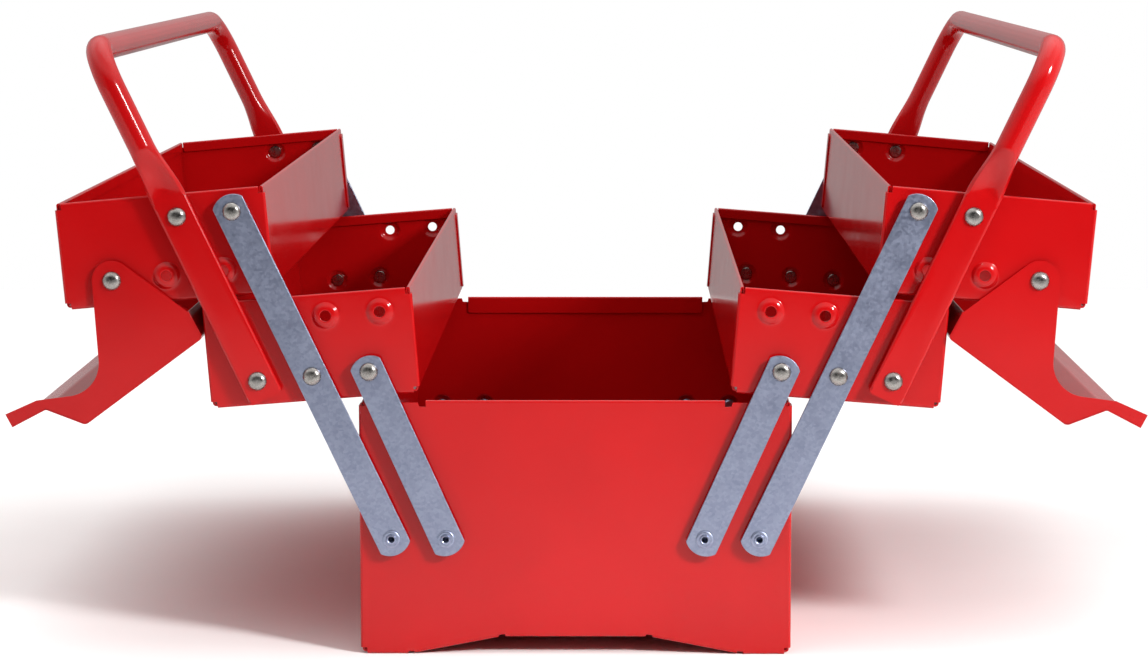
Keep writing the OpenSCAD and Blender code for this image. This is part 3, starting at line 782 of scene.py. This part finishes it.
def link(side, end, kind, foot, lean, spans, last_hole):
    """A strip with shallow round ends, and a hole at each of its pivots"""
    k = box().links
    face = end_face() - link_plane() - k.thickness / 2
    half = k.width / 2
    sweep = 2 * math.asin(half / k.round)
    sunk = k.round - k.end
    bm = bmesh.new()
    bottom = arc(bm, Vector((0, face, sunk)), k.round, -math.pi / 2 - sweep / 2, sweep, 18)
    top = arc(bm, Vector((0, face, spans[-1] - sunk)), k.round, math.pi / 2 - sweep / 2, sweep, 18)
    for a, c in ((bottom[-1], top[0]), (top[-1], bottom[0])):
        bm.edges.new((a, c))
    outline = list(bm.edges)
    holes = []
    for z in spans:
        radius = last_hole if z == spans[-1] else box().rivets.hole
        holes += punch(bm, Vector((0, face, z)), radius)
    fill_flat(bm, outline + holes)
    settle(bm, f"{side}_{kind}_strip_{end}", f"{side}_{kind}_links", f"{side}_{kind}_link_{end}", "zinc",
           place=hang((0, 0), foot, lean), side=side, end=end, sheet=k.thickness, edge=k.edge)


def short_link_shape():
    """The short link's lean and the length between its pivots, midway between what the open and
    the closed box ask for"""
    k, t, b = box().links, box().trays, box().base
    spots = bosses()
    foot, at = PIVOTS["left_short_swing"], PIVOTS["left_lower_tray_pivot"]
    arm = turned(*(spots["lower_short"] - spots["lower_long"]), t.lower_droop)
    top = Vector((at.x + arm.x, 0, at.z + arm.y))
    long_foot = PIVOTS["left_swing"]
    run = (-long_foot.x - box().fits.middle / 2 - t.margin) / 2
    rise = math.sqrt(k.pitch ** 2 - run ** 2)
    closed = math.hypot(run + t.short_gap - (foot.x - long_foot.x), rise)
    return lean_of(foot, top), (closed + (top - foot).length) / 2


class TOOLBOX_OT_links(bpy.types.Operator):
    """Makes the long and the short strip links at both ends of both sides"""

    bl_idname = "toolbox.links"
    bl_label = "Links"

    def execute(self, context):
        k, hole = box().links, box().rivets.hole
        foot = PIVOTS["left_swing"]
        lean = lean_of(foot, PIVOTS["left_upper_tray_pivot"])
        short_lean, span = short_link_shape()
        for side in SIDES:
            for end in ENDS:
                link(side, end, "long", foot, lean, (0, k.pitch, 2 * k.pitch), hole)
                link(side, end, "short", PIVOTS["left_short_swing"], short_lean, (0, span),
                     box().rivets.pin + box().fits.short_play)
        return {"FINISHED"}


# ---- Rivets


def solid_rivet(bm, spot, head_from, collar):
    """A set rivet: an upset tail behind the boss, a shank, and a domed head with a flat crown"""
    r, t, s = box().rivets, box().trays, box().sheet
    tail, spread = t.boss_height - s.thickness, r.pin + 0.0009
    back = tail - 0.0014
    shape = [(0, back), (r.pin * 0.9, back), (spread - 0.0003, back + 0.0001), (spread, back + 0.0004),
             (spread, tail), (r.pin, tail)]
    if collar:
        to = link_plane() - box().fits.turn
        shape += [(r.pin, t.boss_height), (r.collar, t.boss_height), (r.collar, to), (r.pin, to)]
    dome = [(0.97, 0), (1, 0.05), (1, 0.14), (0.97, 0.25), (0.9, 0.45), (0.8, 0.64), (0.67, 0.81),
            (0.52, 0.92), (0.35, 0.98), (0.18, 1), (0, 1)]
    shape += [(r.pin, head_from)] + [(r.head * w, head_from + r.head_height * h) for w, h in dome]
    turn_round(bm, Vector((spot[0], end_face(), spot[1])), shape)


def blind_rivet(bm, spot):
    """A blind rivet: a bulb inside, a flange, and a rolled rim round the hole that the mandrel left"""
    r = box().rivets
    out = link_plane() + box().links.thickness + box().fits.turn
    bulb = link_plane() - box().fits.turn - box().sheet.thickness
    rim, seat = r.flange, out - 0.0062
    inside = [(0, bulb - 0.0045), (r.pin * 0.92, bulb - 0.0044), (r.pin + 0.0007, bulb - 0.0036),
              (r.pin + 0.001, bulb - 0.0026), (r.pin + 0.0006, bulb)]
    flange = [(rim - 0.0001, out), (rim, out + 0.0001), (rim, out + 0.0004), (rim - 0.0003, out + 0.0007),
              (rim - 0.0009, out + 0.0008), (rim - 0.0012, out + 0.0007)]
    rolled = [(0.0024, out + 0.0008), (0.0022, out + 0.0012), (0.0018, out + 0.0013),
              (0.0015, out + 0.0011), (0.0014, out + 0.0006)]
    shape = [*inside, (r.pin, bulb), (r.pin, out), *flange, *rolled, (0.0013, seat), (0, seat)]
    turn_round(bm, Vector((spot[0], end_face(), spot[1])), shape)


def tray_rivets(side, row, end):
    """The rivets that carry a tray, with the collars that hold the links off its bosses"""
    spots = bosses()
    strap, strip = box().handles.strap_thick, box().links.thickness
    carried = {
        "lower": (("outer", strap), ("lower_long", strip), ("lower_short", strip)),
        "upper": (("upper_strap", strap), ("upper_long", strip)),
    }[row]
    bm = bmesh.new()
    for name, thick in carried:
        solid_rivet(bm, spots[name], link_plane() + thick + box().fits.turn, True)
    settle(bm, f"{side}_{row}_tray_rivets_{end}", f"{side}_{row}_tray", f"{side}_{row}_rivets_{end}",
           "steel", place=tray_place(row), side=side, end=end)


def lid_rivet(side, end):
    """The rivet in the upper tray's outer boss that a lid's ear turns on"""
    bm = bmesh.new()
    solid_rivet(bm, bosses()["outer"], lid_plane() + box().sheet.thickness + box().fits.turn, False)
    settle(bm, f"{side}_lid_pin_{end}", f"{side}_upper_tray", f"{side}_lid_rivet_{end}", "steel",
           place=tray_place("upper"), side=side, end=end)


class TOOLBOX_OT_rivets(bpy.types.Operator):
    """Makes the solid rivets of the trays and lids and the blind rivets of the base"""

    bl_idname = "toolbox.rivets"
    bl_label = "Rivets"

    def execute(self, context):
        for end in ENDS:
            bm = bmesh.new()
            for name in ("left_swing", "left_short_swing"):
                for way in (1, -1):
                    blind_rivet(bm, (PIVOTS[name].x * way, PIVOTS[name].z))
            settle(bm, f"base_blind_rivets_{end}", "base", f"base_rivets_{end}", "zinc rivet", end=end)
            for side in SIDES:
                for row in ("lower", "upper"):
                    tray_rivets(side, row, end)
                lid_rivet(side, end)
        return {"FINISHED"}


# ---- Handles


def strap(bm, span, front):
    """A plate with two holes, its long sides rounded as a flattened tube's are; returns the open
    ring at its top"""
    h, r = box().handles, box().rivets
    half, count = h.strap_width / 2, 10
    corners = [(-half, h.strap_top), (-half, -span - h.strap_end), (half, -span - h.strap_end)]
    corners += [(half - 2 * half * k / count, h.strap_top) for k in range(count)]
    row, _ = chain(bm, [(x, front, z) for x, z in corners], closed=True)
    round_corners(bm, row[1:3], 0.0022)
    outline = list(bm.edges)
    holes = punch(bm, Vector((0, front, 0)), r.hole)
    holes += punch(bm, Vector((0, front, -span)), r.pin + box().fits.strap_play)
    fill_flat(bm, outline + holes)
    drawn = bmesh.ops.extrude_face_region(bm, geom=bm.faces[:])["geom"]
    bmesh.ops.translate(bm, vec=INWARD * h.strap_thick, verts=verts_of(drawn))
    bmesh.ops.recalc_face_normals(bm, faces=bm.faces)
    top = [face for face in bm.faces if all(abs(v.co.z - h.strap_top) < SAME for v in face.verts)]
    bmesh.ops.delete(bm, geom=top, context="FACES_ONLY")
    bmesh.ops.delete(bm, geom=[e for e in bm.edges if not e.link_faces], context="EDGES")
    sides = [e for e in bm.edges if len(e.link_faces) == 2 and e.calc_face_angle(0) > 1
             and all(abs(abs(v.co.x) - half) < SAME for v in e.verts)
             and abs(e.verts[0].co.z - e.verts[1].co.z) > h.strap_end]
    bmesh.ops.bevel(bm, geom=sides, offset=0.0014, offset_type="OFFSET", segments=5, profile=0.5,
                    affect="EDGES", material=-1)
    return [e for e in bm.edges if len(e.link_faces) == 1]


def round_out(bm, ring, front, middle):
    """Rounds the strap out to the tube, ring by ring, with a dent down its front; returns the
    tube's open ring"""
    h = box().handles
    centre = front + h.strap_thick / 2
    dent_half = 0.7 * h.strap_width / 2
    order = sorted({v for e in ring for v in e.verts}, key=lambda v: math.atan2(v.co.y - centre, v.co.x))
    flat = [v.co.copy() for v in order]
    # Each point's place along the ring; the one in the middle of the front goes to the tube's front
    places = [0]
    for a, c in zip(flat, flat[1:] + flat[:1]):
        places.append(places[-1] + (c - a).length)
    whole = places.pop()
    fore = places[min(range(len(flat)), key=lambda k: abs(flat[k].x) + 9 * abs(flat[k].y - front))]
    steps = 14
    for k in range(1, steps + 1):
        grown = bmesh.ops.extrude_edge_only(bm, edges=ring)["geom"]
        ring, fresh = edges_of(grown), verts_of(grown)
        order = [next(new for new in fresh if new.co == old.co) for old in order]
        share = k / steps
        ease = share * share * (3 - 2 * share)
        for v, was, place in zip(order, flat, places):
            turn = 2 * math.pi * (place - fore) / whole - math.pi / 2
            on_tube = Vector((h.tube * math.cos(turn), middle + h.tube * math.sin(turn), h.strap_top))
            hollow = max(0, 1 - (was.x / dent_half) ** 2) if was.y < centre else 0
            dent = Vector((0, h.dent * math.sin(math.pi * share) * hollow, 0))
            v.co = was.lerp(on_tube, ease) + dent + Vector((0, 0, h.round_out * share))
    return ring


def draw_tube(bm, ring, by):
    """Draws the tube's open ring out in a straight line"""
    grown = bmesh.ops.extrude_edge_only(bm, edges=ring)["geom"]
    bmesh.ops.translate(bm, vec=by, verts=verts_of(grown))
    return verts_of(grown), edges_of(grown)


def handle(side):
    """One tube bent to a U, each leg flattened to a strap with two holes"""
    h, f, t, pitch = box().handles, box().fits, box().trays, box().links.pitch
    foot, top = lower_strap_pivot(), PIVOTS["left_handle_pivot"]
    span = (pitch + (top - foot).length) / 2
    # The straps lean like the closed links do, and the closed grips meet over the box's middle
    closed = math.asin((-PIVOTS["left_swing"].x - f.middle / 2 - t.margin) / (2 * pitch))
    grip_gap = 4 * f.turn
    reach = (t.margin + t.boss_gap + f.middle / 2 - h.tube - grip_gap) / math.sin(closed)
    front = end_face() - link_plane() - h.strap_thick
    middle = end_face() - link_plane() - h.tube
    bm = bmesh.new()
    ring = round_out(bm, strap(bm, span, front), front, middle)
    # The leg, the bend and half of the grip, mirrored to the other end
    verts, ring = draw_tube(bm, ring, (0, 0, reach - h.bend - h.strap_top - h.round_out))
    spun = bmesh.ops.spin(bm, geom=verts + ring, cent=(0, middle + h.bend, reach - h.bend),
                          axis=(-1, 0, 0), dvec=(0, 0, 0), angle=math.pi / 2, steps=12)
    draw_tube(bm, edges_of(spun["geom_last"]), (0, -middle - h.bend, 0))
    bmesh.ops.mirror(bm, geom=bm.verts[:] + bm.edges[:] + bm.faces[:], axis="Y", merge_dist=1e-5)
    settle(bm, f"{side}_handle_tube", f"{side}_handle", f"{side}_handle", "enamel",
           place=hang((0, 0), top, lean_of(foot, top)), side=side)


class TOOLBOX_OT_handles(bpy.types.Operator):
    """Makes the two tube handles with their flattened straps"""

    bl_idname = "toolbox.handles"
    bl_label = "Handles"

    def execute(self, context):
        for side in SIDES:
            handle(side)
        return {"FINISHED"}


# ---- Stage


FLOOR_HALF = 1.4                # half the floor's side, in metres
CAMERA_AT = (0.02116, -1.68853, 0.33713)
CAMERA_TURN = (82.835, 0.0865, 0.8276)      # in degrees: level with the box, looking a little down
CAMERA_LENS, CAMERA_SENSOR = 101.71, 36     # in millimetres


def softbox(name, at, aim, size, power, spread):
    """A square studio light with a grid, which faces a point of the box"""
    lamp = bpy.data.lights.new(name, "AREA")
    lamp.size, lamp.energy, lamp.spread = size, power, math.radians(spread)
    light = bpy.data.objects.new(name, lamp)
    light.location = at
    light.rotation_euler = (Vector(aim) - Vector(at)).to_track_quat("-Z", "Y").to_euler()
    bpy.context.scene.collection.objects.link(light)


def studio_air():
    """The air of a white studio: a bright ceiling, softer walls at the far end and both sides, and a
    dim near side; what is seen directly is plain white"""
    world = bpy.data.worlds.new("Studio air")
    world.use_nodes = True
    tree = world.node_tree
    tree.nodes.clear()
    way = add(tree, "ShaderNodeSeparateXYZ", Vector=add(tree, "ShaderNodeTexCoord").outputs["Generated"])
    far = add(tree, "ShaderNodeMapRange", Value=way.outputs["Y"], From_Min=-0.3, From_Max=0.4,
              To_Min=0.08, To_Max=1.0).outputs["Result"]
    wall = add(tree, "ShaderNodeMapRange", Value=way.outputs["Z"], From_Min=-0.03, From_Max=0.06,
               To_Min=0.35, To_Max=0.42).outputs["Result"]
    across = add(tree, "ShaderNodeMath", {"operation": "ABSOLUTE"}, _0=way.outputs["X"]).outputs[0]
    sides = add(tree, "ShaderNodeMapRange", Value=across, From_Min=0.35, From_Max=0.95,
                To_Min=0.0, To_Max=0.7).outputs["Result"]
    ceiling = add(tree, "ShaderNodeMapRange", Value=way.outputs["Z"], From_Min=0.4, From_Max=0.75,
                  To_Min=0.0, To_Max=1.2).outputs["Result"]
    above = add(tree, "ShaderNodeMath", {"operation": "MULTIPLY_ADD"}, _0=far, _1=wall,
                _2=ceiling).outputs[0]
    light = add(tree, "ShaderNodeMath", {"operation": "ADD"}, _0=above, _1=sides).outputs[0]
    seen = add(tree, "ShaderNodeLightPath").outputs["Is Camera Ray"]
    strength = add(tree, "ShaderNodeMath", {"operation": "MAXIMUM"}, _0=light, _1=seen).outputs[0]
    air = add(tree, "ShaderNodeBackground", Color=grey(1), Strength=strength)
    add(tree, "ShaderNodeOutputWorld", Surface=air.outputs["Background"])
    return world


class TOOLBOX_OT_stage(bpy.types.Operator):
    """Lays the pale floor and sets the studio lights and the camera"""

    bl_idname = "toolbox.stage"
    bl_label = "Stage"

    def execute(self, context):
        bm = bmesh.new()
        bmesh.ops.create_grid(bm, x_segments=1, y_segments=1, size=FLOOR_HALF,
                              matrix=Matrix.Translation((0, -0.1, 0)))
        mesh = bpy.data.meshes.new("floor")
        bm.to_mesh(mesh)
        bm.free()
        mesh.materials.append(studio_floor())
        floor = bpy.data.objects.new("floor", mesh)
        context.scene.collection.objects.link(floor)

        context.scene.world = studio_air()
        context.scene.view_settings.view_transform = "Standard"
        softbox("Key", at=(1.3, -1.25, 1.05), aim=(0.03, -0.2, 0.05), size=0.32, power=1.6, spread=34)
        softbox("Top", at=(0.1, 0.2, 1.6), aim=(0, 0, 0.1), size=1.2, power=1.0, spread=90)

        lens = bpy.data.cameras.new("Camera")
        lens.sensor_width, lens.lens = CAMERA_SENSOR, CAMERA_LENS
        lens.clip_start = 0.05
        camera = bpy.data.objects.new("Camera", lens)
        camera.location = CAMERA_AT
        camera.rotation_euler = [math.radians(degrees) for degrees in CAMERA_TURN]
        context.scene.collection.objects.link(camera)
        context.scene.camera = camera
        return {"FINISHED"}


# ---- Add-on


OPERATORS = (TOOLBOX_OT_base, TOOLBOX_OT_trays, TOOLBOX_OT_lids, TOOLBOX_OT_links, TOOLBOX_OT_rivets,
             TOOLBOX_OT_handles, TOOLBOX_OT_stage)


class TOOLBOX_PT_panel(bpy.types.Panel):
    """Lists the toolbox's pieces"""

    bl_idname = "TOOLBOX_PT_panel"
    bl_label = "Toolbox"
    bl_space_type = "VIEW_3D"
    bl_region_type = "UI"
    bl_category = "Toolbox"

    def draw(self, context):
        for operator in OPERATORS:
            self.layout.operator(operator.bl_idname)


CLASSES = (*GROUPS.values(), Toolbox, *OPERATORS, TOOLBOX_PT_panel)


def register():
    for each in CLASSES:
        bpy.utils.register_class(each)
    bpy.types.Scene.toolbox = PointerProperty(type=Toolbox, name="Toolbox", description=Toolbox.__doc__)


def unregister():
    del bpy.types.Scene.toolbox
    for each in reversed(CLASSES):
        bpy.utils.unregister_class(each)


def main():
    """Makes the toolbox and its stage"""
    register()
    for name in ("base", "trays", "lids", "links", "rivets", "handles", "stage"):
        getattr(bpy.ops.toolbox, name)()


if __name__ == "__main__":
    main()
